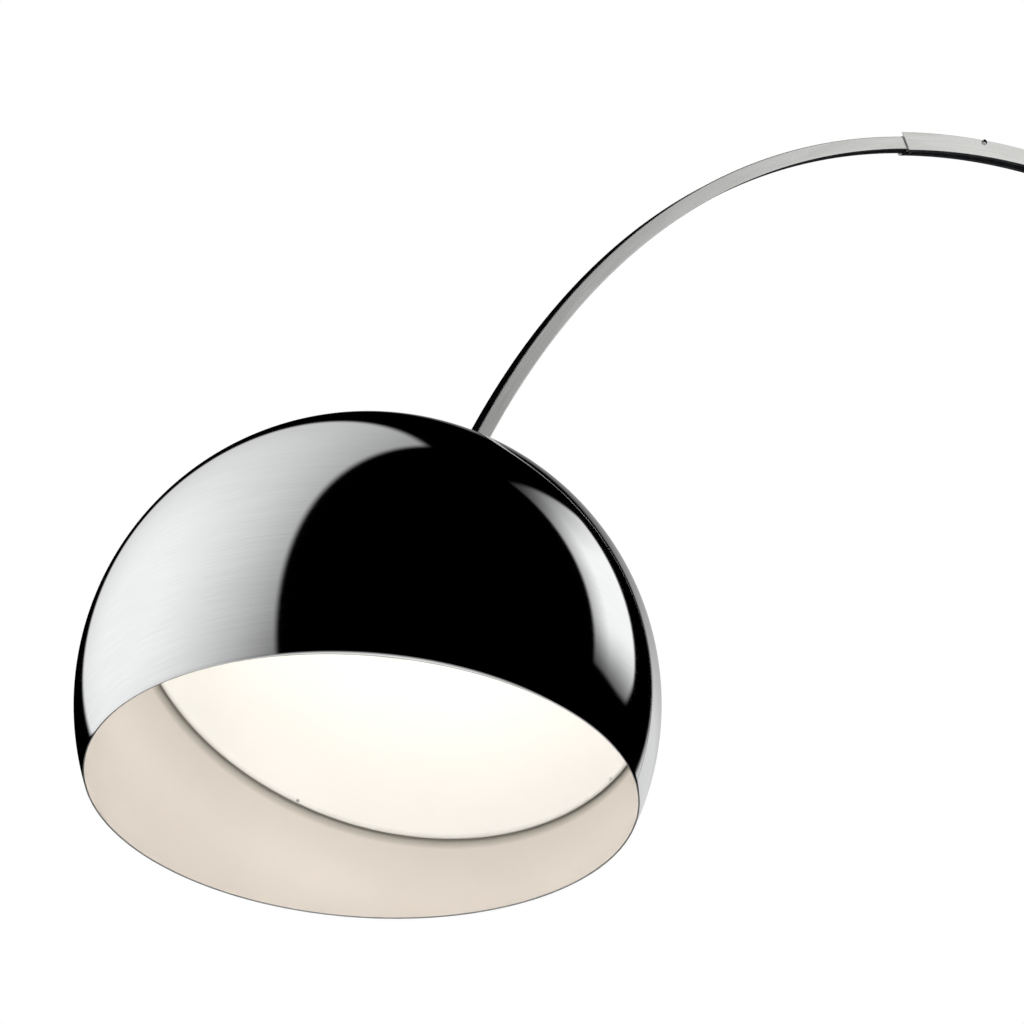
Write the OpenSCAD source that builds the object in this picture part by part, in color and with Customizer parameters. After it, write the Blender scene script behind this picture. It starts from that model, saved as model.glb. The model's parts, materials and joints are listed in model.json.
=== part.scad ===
// Arc floor lamp: a stone base, a telescopic steel arc of three nested channels
// and a spun dome shade that tilts and turns on a fixed, ventilated cap.
// Millimetres. The origin is on the floor under the post, +Z is up and the
// arc reaches towards -X. The whole arc lies in the plane Y = 0.

/* [Arc] */
// Radius of the arc, along the middle of the thinnest channel
arc_radius = 1200; // [1150:10:1250]
// Height at which the straight post turns into the arc
post_top = 1200; // [1150:10:1250]
// Angle round the arc at which the lower channel ends
lower_end = 62; // [60:1:64]
// Angle at which the middle channel ends
middle_end = 121.9; // [119:0.1:124]
// Angle at which the hidden tail of the middle channel starts
middle_start = 40; // [38:1:42]
// Angle at which the hidden tail of the end channel starts
end_start = 104; // [102:1:106]

/* [Channels] */
// Width of the end channel
end_w = 8.2; // [8.1:0.1:8.3]
// Width of the middle channel
middle_w = 10.1; // [10:0.1:10.3]
// Width of the lower channel
lower_w = 12.5; // [12.5:0.1:13]

/* [Head] */
// Lean of the head's axis from the vertical
head_tilt = 19.53; // [18:0.1:21]
// Distance from the point where that axis touches the arc to the shade's centre
head_drop = 119.24; // [110:1:125]
// Outer radius of the dome
dome_r = 160; // [160:1:165]
// Distance of the dome's open rim below its centre
rim_drop = 55.5; // [50:0.5:60]
// Tilt of the dome away from the head's axis
dome_tilt = 20.3; // [10:0.1:22]
// Turn of the dome round the head's axis
dome_turn = 11; // [-20:1:20]
// Half angle of the opening in the top of the dome
vent_angle = 30.5; // [28:0.5:32]

/* [Base] */
// Length of the stone block, along the reach
block_l = 250; // [240:5:280]
// Width of the stone block
block_w = 185; // [170:5:220]
// Height of the stone block
block_h = 557; // [540:1:580]
// Chamfer on the block's edges
block_chamfer = 12; // [8:1:15]
// Radius of the hole that a bar goes through to lift the block
lift_r = 18; // [15:1:20]

/* [Hidden] */
$fn = 96;
eps = 0.01;

// Heights of each channel above and below the arc's radius
end_top = 4.9;
end_bottom = 4.9;
middle_top = 8;
middle_bottom = 6.3;
lower_top = 13.3;
lower_bottom = 8;
end_wall = 0.9;
middle_wall = 0.8;
lower_wall = 1;
end_slot = 3;
middle_slot = 4;
lower_slot = 5;

// Straight stretches along the arc, and how thick the sliding shoes are
mouth_relief_l = 10;
middle_shoe_l = 22;
end_shoe_l = 18;
lower_wedge_l = 14;
middle_wedge_l = 12;
tongue_l = 28;
slide_gap = 0.35;

// Points on the head's axis, as distances above the shade's centre
tip_far = 181;
tip_near = 165;
cap_r = 157.8;
cap_wall = 1;
cap_rim = 51.6;
// Rings of vent holes: angle from the pole and number of holes
vent_rings = [[10, 12], [14.5, 18], [19, 24], [23.5, 30]];
vent_r = 2;
collar_low = 150;
collar_low_r = 16.5;
collar_top_r = 9.5;
ferrule_r = 8;
glide_from = 56;
glide_to = 64;
dome_wall = 0.9;
nipple_r = 5;
nipple_bore = 3.4;
thread_gap = 0.05;
cut = 400;
washer_top = 156.3;
washer_t = 1.5;
nut_t = 4.2;
nut_flats = 14;
cover_top = washer_top - washer_t - nut_t - 0.2;
cover_r = 19.5;
cover_wall = 1.5;
cover_base = 112;
nipple_low = 141;
nipple_high = 173;
core_top = 140;
core_low = 127;
holder_mouth = 96;
holder_bore = 14.7;
sleeve_h = 8;
bulb_top = 124;
bulb_base_r = 13.1;
bulb_base_h = 26;
globe_r = 22.5;
globe_up = 70;
neck_drop = 18;
glass_t = 1;
contact_h = 1.6;

// The arc's end, where the channel meets the tip
touch_angle = 180 - head_tilt;
end_stop = touch_angle - atan((tip_far - head_drop) / arc_radius);

// Base
pad_t = 3;
block_x = -55;
block_top = pad_t + block_h;
lift_z = 400;
rod_r = 6;
plate_t = 8;
plate_l = 74;
plate_w = 64;
post_x = (lower_top - lower_bottom) / 2;
post_depth = lower_top + lower_bottom;
socket_wall = 5;
socket_h = 70;
post_low = block_top + plate_t;
screw_dx = 29;
screw_dy = 24;
gland_z = post_low + 100;
recess_r = 20;
recess_t = 25;

// Cables
cable_r = 1.6;
post_lane = 10.3;
post_lane_y = 2.8;
arm_lane = -0.6;
arm_cable_r = 1.8;
arm_cable_start = 44.5;
post_cable_end = 46;
clip_angles = [12, 28];
clip_heights = [800, 1000];

// Lock screws: angle round the arc, height above its radius, and shank
middle_lock_angle = 116.25;
middle_lock_r = 6.2;
middle_shank_r = 0.6;
lower_lock_angle = 58;
lower_lock_r = 10.2;
lower_shank_r = 1.5;
rivet_r = 0.8;

// Colours
steel = [0.78, 0.78, 0.77];
bright = [0.85, 0.85, 0.86];
stone = [0.93, 0.93, 0.92];
brass_tone = [0.8, 0.65, 0.35];
nylon = [0.15, 0.15, 0.16];
white = [0.96, 0.94, 0.9];

function degrees_for(length) = length / arc_radius * 180 / PI;

// Frame changes

// Moves a shape drawn round the Z axis into the arc's plane and onto its centre
module on_arc() {
    translate([-arc_radius, 0, post_top]) rotate([90, 0, 0]) children();
}

// A swept stretch of the arc between two angles, from a profile whose x is the radius
module arc_sweep(from, to) {
    on_arc() rotate([0, 0, from]) rotate_extrude(angle = to - from, $fn = 720) children();
}

// A frame at one angle of the arc: x outwards, z along the arc, y across it
module at_arc(angle, radius) {
    translate([-arc_radius, 0, post_top]) rotate([0, -angle, 0])
        translate([radius, 0, 0]) children();
}

// The head's frame: the centre of the shade, with z up the head's axis
module at_head() {
    translate([-arc_radius, 0, post_top])
        translate([arc_radius * cos(touch_angle), 0, arc_radius * sin(touch_angle)])
        rotate([0, head_tilt, 0]) translate([0, 0, -head_drop]) children();
}

// The dome's frame, tilted and turned on the head
module at_dome() {
    at_head() rotate([0, 0, dome_turn]) rotate([0, -dome_tilt, 0]) children();
}

module tube(height, outer, inner) {
    difference() {
        cylinder(h = height, r = outer);
        translate([0, 0, -1]) cylinder(h = height + 2, r = inner);
    }
}

// A hex nut that stands on z = 0
module hex_nut(flats, height, bore) {
    difference() {
        cylinder(h = height, r = flats / sqrt(3), $fn = 6);
        translate([0, 0, -1]) cylinder(h = height + 2, r = bore);
    }
}

// A round-headed screw along z, its head above z = 0 and its shank below
module round_screw(head_r, head_h, shank_r, shank) {
    difference() {
        union() {
            translate([0, 0, -shank]) cylinder(h = shank + eps, r = shank_r);
            intersection() {
                cylinder(h = head_h, r = head_r);
                translate([0, 0, head_h - head_r * 1.15]) sphere(r = head_r * 1.15);
            }
        }
        translate([-head_r, -head_r / 8, head_h * 0.55]) cube([head_r * 2, head_r / 4, head_h]);
    }
}

// Outline of a channel whose slot opens towards the arc's centre
module channel_outline(width, top, bottom, wall, slot, centre) {
    difference() {
        translate([centre - bottom, -width / 2]) square([top + bottom, width]);
        translate([centre - bottom + wall, -width / 2 + wall])
            square([top + bottom - 2 * wall, width - 2 * wall]);
        translate([centre - bottom - 1, -slot / 2]) square([wall + 2, slot]);
    }
}

// Base

module base_pad() {
    inset = block_chamfer;
    color(nylon) translate([block_x - block_l / 2 + inset, -block_w / 2 + inset, 0])
        cube([block_l - 2 * inset, block_w - 2 * inset, pad_t]);
}

// A rectangle with chamfered corners, centred on the origin
module chamfered(length, width, cut) {
    a = length / 2;
    b = width / 2;
    polygon([
        [-a + cut, -b], [a - cut, -b], [a, -b + cut], [a, b - cut],
        [a - cut, b], [-a + cut, b], [-a, b - cut], [-a, -b + cut]
    ]);
}

module base_block() {
    mid_z = pad_t + block_h / 2;
    color(stone) difference() {
        intersection() {
            translate([block_x, 0, pad_t]) linear_extrude(block_h)
                chamfered(block_l, block_w, block_chamfer);
            translate([block_x, block_w / 2, mid_z]) rotate([90, 0, 0])
                linear_extrude(block_w) chamfered(block_l, block_h, block_chamfer);
            translate([block_x - block_l / 2, 0, mid_z]) rotate([90, 0, 90])
                linear_extrude(block_l) chamfered(block_w, block_h, block_chamfer);
        }
        translate([block_x, block_w, lift_z]) rotate([90, 0, 0])
            cylinder(h = 2 * block_w, r = lift_r);
        translate([post_x, 0, 0]) cylinder(h = block_top + 1, r = rod_r + 1);
        translate([post_x, 0, 0]) cylinder(h = pad_t + recess_t, r = recess_r);
        plate_corners() translate([0, 0, block_top - 40]) cylinder(h = 41, r = 5);
    }
}

// Puts its children at the four screws of the socket plate
module plate_corners() {
    for (side_x = [-1, 1]) {
        for (side_y = [-1, 1]) {
            translate([post_x + side_x * screw_dx, side_y * screw_dy, 0]) children();
        }
    }
}

module stone_anchors() {
    color(brass_tone) plate_corners() translate([0, 0, block_top - 38]) tube(38, 4.95, 3.05);
}

module socket_plate() {
    inner_l = post_depth + 0.2;
    inner_w = lower_w + 0.2;
    color(steel) difference() {
        union() {
            translate([post_x, 0, block_top]) linear_extrude(plate_t)
                chamfered(plate_l, plate_w, 6);
            translate([post_x, 0, post_low - eps]) linear_extrude(socket_h)
                chamfered(inner_l + 2 * socket_wall, inner_w + 2 * socket_wall, 2);
        }
        translate([post_x - inner_l / 2, -inner_w / 2, post_low])
            cube([inner_l, inner_w, socket_h + 1]);
        translate([post_x, 0, block_top - 1]) cylinder(h = 7, r = rod_r + thread_gap);
        plate_corners() translate([0, 0, block_top - 1]) cylinder(h = plate_t + 2, r = 3.3);
        plate_corners() translate([0, 0, post_low - 3.3]) cylinder(h = 3.31, r1 = 3.3, r2 = 6.6);
        post_screw_places() translate([0, 0, -20]) cylinder(h = 40, r = 2.5 + thread_gap);
    }
}

module plate_screws() {
    color(steel) plate_corners() difference() {
        union() {
            translate([0, 0, block_top - 30]) cylinder(h = 30 + plate_t - 3.2, r = 3);
            translate([0, 0, post_low - 3.2]) cylinder(h = 3.2, r1 = 3, r2 = 6.2);
        }
        translate([0, 0, post_low - 2]) cylinder(h = 3, r = 2.2, $fn = 6);
    }
}

module tie_rod() {
    color(steel) translate([post_x, 0, pad_t + 2]) cylinder(h = block_h + 3, r = rod_r);
}

module tie_washer() {
    color(steel) translate([post_x, 0, pad_t + recess_t - 3]) tube(3, 16, rod_r + 0.3);
}

module tie_nut() {
    color(steel) translate([post_x, 0, pad_t + recess_t - 13]) hex_nut(19, 10, rod_r + thread_gap);
}

// Puts its children at the two clamp screws of the socket, with z pointing to -Y
module post_screw_places() {
    for (rise = [20, 50]) {
        translate([post_x + 2, -lower_w / 2 - 0.1 - socket_wall, post_low + rise])
            rotate([90, 0, 0]) children();
    }
}

module post_screws() {
    color(steel) post_screw_places() difference() {
        union() {
            translate([0, 0, -socket_wall - 0.1]) cylinder(h = socket_wall + 0.1 + eps, r = 2.5);
            cylinder(h = 5, r = 4.25);
        }
        translate([0, 0, 2.5]) cylinder(h = 3, r = 2.3, $fn = 6);
    }
}

// Telescopic arc

// The straight channel that stands in the socket, welded end to end to the arc
module post() {
    color(steel) difference() {
        translate([0, 0, post_low]) linear_extrude(post_top - post_low)
            channel_outline(lower_w, lower_top, lower_bottom, lower_wall, lower_slot, 0);
        translate([lower_top - 3, 0, gland_z]) rotate([0, 90, 0]) cylinder(h = 6, r = 4.2);
    }
}

module lower_section() {
    color(steel) difference() {
        arc_sweep(0, lower_end)
            channel_outline(lower_w, lower_top, lower_bottom, lower_wall, lower_slot, arc_radius);
        lock_screw_frame(lower_lock_angle, lower_lock_r)
            translate([0, 0, -2]) cylinder(h = lower_w, r = lower_shank_r + thread_gap);
    }
}

// The axis of a lock screw, with z pointing out of the -Y side of the arm
module lock_screw_frame(angle, radius) {
    at_arc(angle, arc_radius + radius) rotate([90, 0, 0]) children();
}

module cable_gland() {
    color(nylon) translate([lower_top, 0, gland_z]) rotate([0, 90, 0]) difference() {
        union() {
            translate([0, 0, -lower_wall]) cylinder(h = lower_wall + eps, r = 4.1);
            cylinder(h = 2, r = 6.2);
            cylinder(h = 14, r1 = 5.4, r2 = 4.6);
        }
        translate([0, 0, -lower_wall - 1]) cylinder(h = 17, r = 3.2);
    }
}

module post_cable() {
    color(nylon) {
        translate([post_lane, post_lane_y, gland_z + 8])
            cylinder(h = post_top - gland_z - 8, r = cable_r);
        arc_sweep(0, post_cable_end)
            translate([arc_radius + post_lane, -post_lane_y]) circle(r = cable_r, $fn = 48);
    }
}

module clip_outline(centre) {
    difference() {
        translate([centre + middle_top + 0.35, -lower_w / 2 + lower_wall + 0.1]) square([3.85, 4.1]);
        translate([centre + post_lane, -post_lane_y]) circle(r = cable_r + thread_gap, $fn = 48);
    }
}

module cable_clips() {
    color(nylon) {
        for (angle = clip_angles) {
            arc_sweep(angle, angle + degrees_for(8)) clip_outline(arc_radius);
        }
        for (rise = clip_heights) {
            translate([0, 0, rise]) linear_extrude(8) mirror([0, 1]) clip_outline(0);
        }
    }
}

// A brass wedge above the inner channel, which the lock screw pulls tight
module clamp_wedge(angle, length, low, high, width, bore_r, bore) {
    half = degrees_for(length) / 2;
    difference() {
        arc_sweep(angle - half, angle + half)
            translate([arc_radius + low, -width / 2]) square([high - low, width]);
        lock_screw_frame(angle, bore_r) translate([0, 0, -2]) cylinder(h = width, r = bore);
    }
}

module lower_wedge() {
    color(brass_tone)
        clamp_wedge(lower_lock_angle, lower_wedge_l, middle_top + slide_gap, lower_top - lower_wall - 0.1,
                    lower_w - 2 * lower_wall - 0.4, lower_lock_r, lower_shank_r + thread_gap);
}

module lower_lock_screw() {
    color(bright) lock_screw_frame(lower_lock_angle, lower_lock_r)
        translate([0, 0, lower_w / 2 + 0.05]) round_screw(2.7, 2.6, lower_shank_r, 6);
}

// Its back wall is cut away for a short way at the mouth
module middle_section() {
    color(steel) difference() {
        arc_sweep(middle_start, middle_end)
            channel_outline(middle_w, middle_top, middle_bottom, middle_wall, middle_slot, arc_radius);
        arc_sweep(middle_end - degrees_for(mouth_relief_l), middle_end + 0.1)
            translate([arc_radius + middle_top - middle_wall - eps, -middle_w / 2 + middle_wall])
            square([middle_wall + 1, middle_w - 2 * middle_wall]);
        lock_screw_frame(middle_lock_angle, middle_lock_r)
            translate([0, 0, -2]) cylinder(h = middle_w, r = middle_shank_r + thread_gap);
    }
}

module middle_shoe() {
    color(nylon) arc_sweep(middle_start + 0.2, middle_start + 0.2 + degrees_for(middle_shoe_l))
        translate([arc_radius + middle_top, -0.8])
        square([lower_top - lower_wall - middle_top - slide_gap, 5.8]);
}

module middle_wedge() {
    color(brass_tone)
        clamp_wedge(middle_lock_angle, middle_wedge_l, end_top + slide_gap, middle_top - middle_wall - 0.05,
                    middle_w - 2 * middle_wall - 0.3, middle_lock_r, middle_shank_r + thread_gap);
}

module middle_lock_screw() {
    color(bright) lock_screw_frame(middle_lock_angle, middle_lock_r)
        translate([0, 0, middle_w / 2 + 0.05]) round_screw(2.1, 1.9, middle_shank_r, 5);
}

module end_section() {
    color(steel) difference() {
        arc_sweep(end_start, end_stop)
            channel_outline(end_w, end_top, end_bottom, end_wall, end_slot, arc_radius);
        rivet_places() translate([0, 0, -10]) cylinder(h = 20, r = rivet_r);
    }
}

module end_shoe() {
    color(nylon) arc_sweep(end_start + 0.2, end_start + 0.2 + degrees_for(end_shoe_l))
        translate([arc_radius + end_top, -end_w / 2 + 0.2])
        square([middle_top - middle_wall - end_top - slide_gap, end_w - 0.4]);
}

// Head

// Puts its children on the axes of the two rivets that hold the tip, across the arm
module rivet_places() {
    for (back = [8, 20]) {
        at_arc(end_stop - degrees_for(back), arc_radius + 2.85) rotate([90, 0, 0]) children();
    }
}

// A turned ferrule with a tongue that lies in the end of the channel
module arm_tip() {
    tongue_low = 1.7;
    tongue_w = end_w - 2 * end_wall;
    lead_x = 1.9;
    color(steel) difference() {
        union() {
            at_head() translate([0, 0, tip_near])
                cylinder(h = tip_far - tip_near - 0.3, r = ferrule_r);
            arc_sweep(end_stop - degrees_for(tongue_l), end_stop + degrees_for(4))
                translate([arc_radius + tongue_low, -tongue_w / 2])
                square([end_top - end_wall - tongue_low, tongue_w]);
        }
        at_head() translate([0, 0, tip_near - 1])
            cylinder(h = nipple_high - tip_near + 1.2, r = nipple_r + thread_gap);
        at_head() translate([0, 0, tip_near]) cylinder(h = 11.6, r = 2.1);
        at_head() translate([lead_x, 0, tip_near]) cylinder(h = 20, r = 2.2);
        rivet_places() translate([0, 0, -10]) cylinder(h = 20, r = rivet_r);
    }
}

module tip_rivets() {
    color(bright) rivet_places() {
        translate([0, 0, -end_w / 2]) cylinder(h = end_w, r = rivet_r);
        for (side = [-1, 1]) {
            translate([0, 0, side * (end_w / 2 + 0.2) - 0.2]) cylinder(h = 0.4, r = 1.5);
        }
    }
}

module hollow_nipple() {
    color(brass_tone) at_head() translate([0, 0, nipple_low])
        tube(nipple_high - nipple_low, nipple_r, nipple_bore);
}

module collar() {
    color(bright) at_head() difference() {
        translate([0, 0, collar_low])
            cylinder(h = tip_near - collar_low, r1 = collar_low_r, r2 = collar_top_r);
        sphere(r = cap_r, $fn = 200);
        translate([0, 0, 140]) cylinder(h = 40, r = nipple_r + thread_gap);
    }
}

module cap() {
    color(bright) at_head() difference() {
        sphere(r = cap_r, $fn = 200);
        sphere(r = cap_r - cap_wall, $fn = 200);
        translate([-cut / 2, -cut / 2, cap_rim - cut]) cube(cut);
        cylinder(h = cap_r + 1, r = nipple_r + thread_gap);
        for (ring = vent_rings) {
            for (k = [0 : ring[1] - 1]) {
                rotate([0, ring[0], k * 360 / ring[1]])
                    translate([0, 0, cap_r - 10]) cylinder(h = 20, r = vent_r, $fn = 32);
            }
        }
    }
}

module cap_washer() {
    color(steel) at_head() translate([0, 0, washer_top - washer_t]) tube(washer_t, 12, nipple_r + 0.1);
}

module lock_nut() {
    color(brass_tone) at_head() translate([0, 0, washer_top - washer_t - nut_t])
        hex_nut(nut_flats, nut_t, nipple_r + thread_gap);
}

module arm_cable() {
    color(nylon) {
        arc_sweep(arm_cable_start, end_stop + degrees_for(tip_far - nipple_high - 0.5))
            translate([arc_radius + arm_lane, 0]) circle(r = arm_cable_r, $fn = 48);
        at_head() translate([0, 0, core_top + 0.5])
            cylinder(h = nipple_high + 3 - core_top, r = arm_cable_r);
    }
}

// Lampholder and bulb

module holder_cover() {
    color(white) at_head() difference() {
        translate([0, 0, cover_base]) cylinder(h = cover_top - cover_base, r = cover_r);
        translate([0, 0, cover_base - 1])
            cylinder(h = cover_top - cover_base - 2, r = cover_r - cover_wall);
        cylinder(h = cover_top + 1, r = nipple_r + thread_gap);
    }
}

module holder_core() {
    color(white) at_head() translate([0, 0, core_low]) difference() {
        cylinder(h = core_top - core_low, r = cover_r - cover_wall - 0.1);
        for (side = [-1, 1]) {
            translate([side * 10, 0, -1]) cylinder(h = core_top - core_low + 2, r = 2);
        }
    }
}

module holder_shell() {
    color(brass_tone) at_head() translate([0, 0, bulb_top - bulb_base_h + 1])
        tube(core_low - bulb_top + bulb_base_h - 1, 14.4, 13.7);
}

module holder_contact() {
    color(brass_tone) at_head() translate([0, 0, bulb_top + contact_h])
        cylinder(h = core_low - bulb_top - contact_h, r = 3.4);
}

module holder_ring() {
    color(white) at_head() difference() {
        union() {
            translate([0, 0, holder_mouth]) cylinder(h = cover_base - holder_mouth, r = cover_r);
            translate([0, 0, cover_base - eps])
                cylinder(h = sleeve_h, r = cover_r - cover_wall - 0.1);
        }
        translate([0, 0, holder_mouth - 1]) cylinder(h = 40, r = holder_bore);
    }
}

// A globe with a conical neck, drawn in by inset; the neck runs on by extra
module bulb_solid(inset, extra) {
    neck_h = bulb_top - bulb_base_h - globe_up - neck_drop;
    neck_low_r = sqrt(globe_r * globe_r - neck_drop * neck_drop);
    translate([0, 0, globe_up]) sphere(r = globe_r - inset, $fn = 128);
    translate([0, 0, globe_up + neck_drop])
        cylinder(h = neck_h + extra, r1 = neck_low_r - inset, r2 = bulb_base_r - 0.6 - inset);
}

module bulb_glass() {
    color(white) at_head() difference() {
        bulb_solid(0, 0);
        bulb_solid(glass_t, 0.2);
    }
}

module bulb_base() {
    color(bright) at_head() translate([0, 0, bulb_top - bulb_base_h])
        cylinder(h = bulb_base_h, r = bulb_base_r);
}

module bulb_contact() {
    color(brass_tone) at_head() translate([0, 0, bulb_top]) cylinder(h = contact_h, r = 4.5);
}

// Shade

module friction_ring() {
    outer = cap_r + 1;
    color(nylon) at_head() difference() {
        sphere(r = outer, $fn = 200);
        sphere(r = cap_r + 0.3, $fn = 200);
        translate([-cut / 2, -cut / 2, outer * cos(glide_from)]) cube(cut);
        translate([-cut / 2, -cut / 2, outer * cos(glide_to) - cut]) cube(cut);
    }
}

module dome() {
    color(bright) at_dome() difference() {
        sphere(r = dome_r, $fn = 200);
        sphere(r = dome_r - dome_wall, $fn = 200);
        translate([-cut / 2, -cut / 2, dome_r * cos(vent_angle)]) cube(cut);
        translate([-cut / 2, -cut / 2, -rim_drop - cut]) cube(cut);
    }
}

base_pad();
base_block();
stone_anchors();
socket_plate();
plate_screws();
tie_rod();
tie_washer();
tie_nut();
post_screws();
post();
lower_section();
cable_gland();
post_cable();
cable_clips();
lower_wedge();
lower_lock_screw();
middle_section();
middle_shoe();
middle_wedge();
middle_lock_screw();
end_section();
end_shoe();
arm_tip();
tip_rivets();
hollow_nipple();
collar();
cap();
cap_washer();
lock_nut();
arm_cable();
holder_cover();
holder_core();
holder_shell();
holder_contact();
holder_ring();
bulb_glass();
bulb_base();
bulb_contact();
friction_ring();
dome();
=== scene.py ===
"""Looks of the arc floor lamp: finishes for every CAD piece, a spun dome shell, studio and camera.

Metres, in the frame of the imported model: the arc lies in the plane Y = 0 and reaches towards -X.
"""
import json
import math
import bmesh
import bpy
from mathutils import Matrix, Quaternion, Vector


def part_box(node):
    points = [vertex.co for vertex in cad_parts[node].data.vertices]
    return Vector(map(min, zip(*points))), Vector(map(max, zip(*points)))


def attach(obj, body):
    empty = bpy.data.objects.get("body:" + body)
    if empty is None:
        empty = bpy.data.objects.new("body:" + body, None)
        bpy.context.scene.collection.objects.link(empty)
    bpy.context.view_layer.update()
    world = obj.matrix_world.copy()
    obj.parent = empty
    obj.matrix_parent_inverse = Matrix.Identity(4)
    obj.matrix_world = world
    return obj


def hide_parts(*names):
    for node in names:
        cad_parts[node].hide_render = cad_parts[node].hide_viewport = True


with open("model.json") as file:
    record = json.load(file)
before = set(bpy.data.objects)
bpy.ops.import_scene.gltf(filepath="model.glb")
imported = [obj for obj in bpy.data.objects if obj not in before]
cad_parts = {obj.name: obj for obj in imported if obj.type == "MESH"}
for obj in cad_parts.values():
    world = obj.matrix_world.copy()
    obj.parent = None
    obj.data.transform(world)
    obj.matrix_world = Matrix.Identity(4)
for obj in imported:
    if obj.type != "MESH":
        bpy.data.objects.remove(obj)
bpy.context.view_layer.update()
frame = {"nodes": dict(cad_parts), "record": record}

# Places that the frame's joints give
JOINTS = {joint["name"]: joint for joint in frame["record"]["behaviour"]["joints"]}
SHADE_CENTRE = Vector(JOINTS["shade_turn"]["pos_m"])
HEAD_AXIS = Vector(JOINTS["shade_turn"]["axis"]).normalized()
TILT_AXIS = Vector(JOINTS["shade_tilt"]["axis"]).normalized()
ARC_CENTRE = Vector(JOINTS["middle_slide"]["pos_m"])
ARC_RADIUS = -ARC_CENTRE.x

# In the middle of its tilt the dome lines up with the head
REST_TILT = math.radians(sum(JOINTS["shade_tilt"]["range_deg"]) / 2)
DOME_AXIS = Quaternion(TILT_AXIS, -REST_TILT) @ HEAD_AXIS

# Dome: its wall, a margin that keeps it inside the CAD box, how far its rim lies below its centre,
# the half angle of its top opening, and how finely it is drawn
DOME_WALL = 0.0009
DOME_MARGIN = 0.00005
DOME_RIM_DROP = 0.0555
VENT_ANGLE = math.radians(30.5)
DOME_TURNS = 288
DOME_STEPS = 120
EDGE_STEPS = 6

# The dome's material slots
METAL_FACE, CREAM_FACE, RIM_FACE = range(3)

# Painted shade round the cap's rim: how far above the shade's centre the friction ring sits, and how wide
# and strong the painted shadow and fade are on the dome's lacquer there and on the cap's rim
RING_UP = 0.0516
PAINTED_SHADE_COLOUR = (0.36, 0.34, 0.3, 1)
PAINTED_SHADOW_HALF_WIDTH = 0.0085
PAINTED_FADE_HALF_WIDTH = 0.045
PAINTED_FADE_LEVEL = 0.26
CAP_RIM_SHADE_WIDTH = 0.0026
CAP_RIM_SHADE_LEVEL = 0.22

# Screws in the cap's rim: turn round the head's axis, drop from its top, and reach from the centre
RIM_SCREW_TURNS = [math.radians(angle) for angle in (-18.7, 62.6, 161.3, 242.6)]
RIM_SCREW_DROP = math.radians(70.4)
RIM_SCREW_REACH = 0.1567
RIM_SCREW_RADIUS = 0.0011
RIM_SCREW_FLATNESS = 0.55
RIM_SCREW_SIDES = 24

# Channels: height above and below the arc's radius, wall and slot
CHANNELS = {
    "end": (0.00488, 0.0049, 0.0009, 0.003),
    "middle": (0.00798, 0.0063, 0.0008, 0.004),
    "lower": (0.01328, 0.008, 0.001, 0.005),
}
CHANNEL_BODIES = {"end": "end_arm", "middle": "middle_arm", "lower": "base"}
CORNER_ROUND = 0.0007
LIP_ROUND = 0.00025
ROUND_STEPS = 4
SWEEP_STEP = math.radians(0.4)

# The angle over which the middle channel's back is cut away at its mouth: 10 mm along the arc
MOUTH_RELIEF = 0.01 / ARC_RADIUS

# The channels' material slots; BLACK and GREY are painted shade on the narrow faces
STEEL, BLACK, GREY, POST_STEEL = range(4)

# Camera: where it stands from the shade's centre, how it looks up at it, and its lens in mm
CAMERA_OFFSET = Vector((-1.467834, -1.392183, -1.269292))
CAMERA_YAW = 0.8653
CAMERA_PITCH = 0.6049
CAMERA_SENSOR = 36.0
CAMERA_LENS = 153.59
CAMERA_SHIFT = -0.0533

# Bulb, and the height over the shade's centre where its silvered crown starts
BULB_STRENGTH = 26.0
BULB_COLOUR = (1.0, 0.97, 0.92, 1.0)
BULB_MIRROR_UP = 0.080
BULB_MIRROR_EDGE = 0.0006

# Studio: even light, a key lamp placed from the shade's centre, and the floor
AMBIENT = 1.06
KEY_SIZE = 3.0
KEY_POWER = 45.0
KEY_OFFSET = Vector((-1.5, -3.5, 3.2))
KEY_TARGET = Vector((1.0, 0, -0.8))
FLOOR_REACH = 45.0

# Softboxes that polished surfaces reflect, in degrees of azimuth and elevation. The main one is
# brightest in its middle, and three planes through the eye bound it, given by their inward normals
MAIN_EDGES = [Vector((-0.144, 1.0, 0.089)), Vector((-0.836, -0.139, 0.532)), Vector((-0.945, 0.28, 0.165))]
MAIN_MIDDLE = (118, 28)
MAIN_SOFTNESS = 0.025
SIDE_CORNERS = [(-34, 64), (0.5, 50), (-12.5, 31), (-15.5, 24), (-22, 16.5), (-30, 15), (-44.5, 15.5)]
SIDE_SOFTNESS = 0.02
BACK_CORNERS = [(0, 14), (16, 45.5), (37, 48), (50, 35), (50, 4)]
BACK_SOFTNESS = 0.03

# How a softbox's level changes: the two values that it changes between, and the levels there
MAIN_FALL = (0.25, 0.97, 0.22, 0.94)
SIDE_TOP_FALL = (0.69, 0.91, 1.0, 0.06)
SIDE_FOOT_FALL = (0.24, 0.53, 0.1, 1.0)
SIDE_EDGE_FALL = (0.0, 0.15, 0.46, 1.0)
BACK_FALL = (0.45, 0.73, 0.7, 0.1)
FLOOR_GLOW = (-0.25, -0.47, 0.0, 0.85)

# The noise values between which a fine grain, or a wide cloud, goes from one tone to the other
GRAIN_SPAN = (0.3, 0.7)
CLOUD_SPAN = (0.35, 0.65)

# The scale of a plain finish's drift against that of its grain, and how far its roughness varies
DRIFT_SCALE = 0.08
ROUGHNESS_SPREAD = 0.2

# Numbers of the Mix node's colour sockets
FIRST_COLOUR, SECOND_COLOUR, MIXED_COLOUR = 6, 7, 2


# ---------------------------------------------------------------- node helpers

def feed(tree, socket, value):
    """Links a socket to an input, or sets the input's own value."""
    if isinstance(value, bpy.types.NodeSocket):
        tree.links.new(value, socket)
    else:
        socket.default_value = value


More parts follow.
